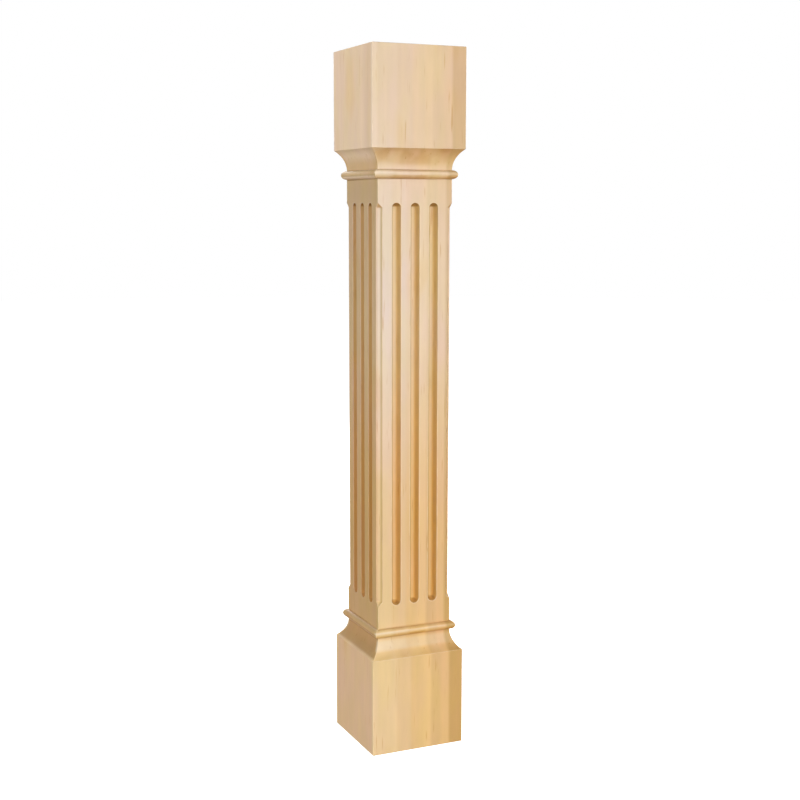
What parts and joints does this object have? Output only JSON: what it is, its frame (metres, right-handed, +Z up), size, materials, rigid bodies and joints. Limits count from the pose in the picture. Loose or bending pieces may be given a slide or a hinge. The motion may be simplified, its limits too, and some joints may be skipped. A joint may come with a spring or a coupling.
{
  "type": "fluted post",
  "caption": "Square wooden post with plain end blocks, a cove and bead at each block, and a shaft with stopped flutes and hollowed corners, to carry a worktop or island corner.",
  "frame": {"origin": "centre of the flat underside", "axes": "+Z up the post, -Y out of the front, +X to the right seen from the front; the four sides are alike"},
  "size_m": [0.127, 0.127, 0.8953],
  "materials": {
    "wood": "sanded pale hardwood, unfinished, with faint upright grain"
  },
  "bodies": {
    "root": {"fluted_post": "wood"}
  },
  "joints": []
}
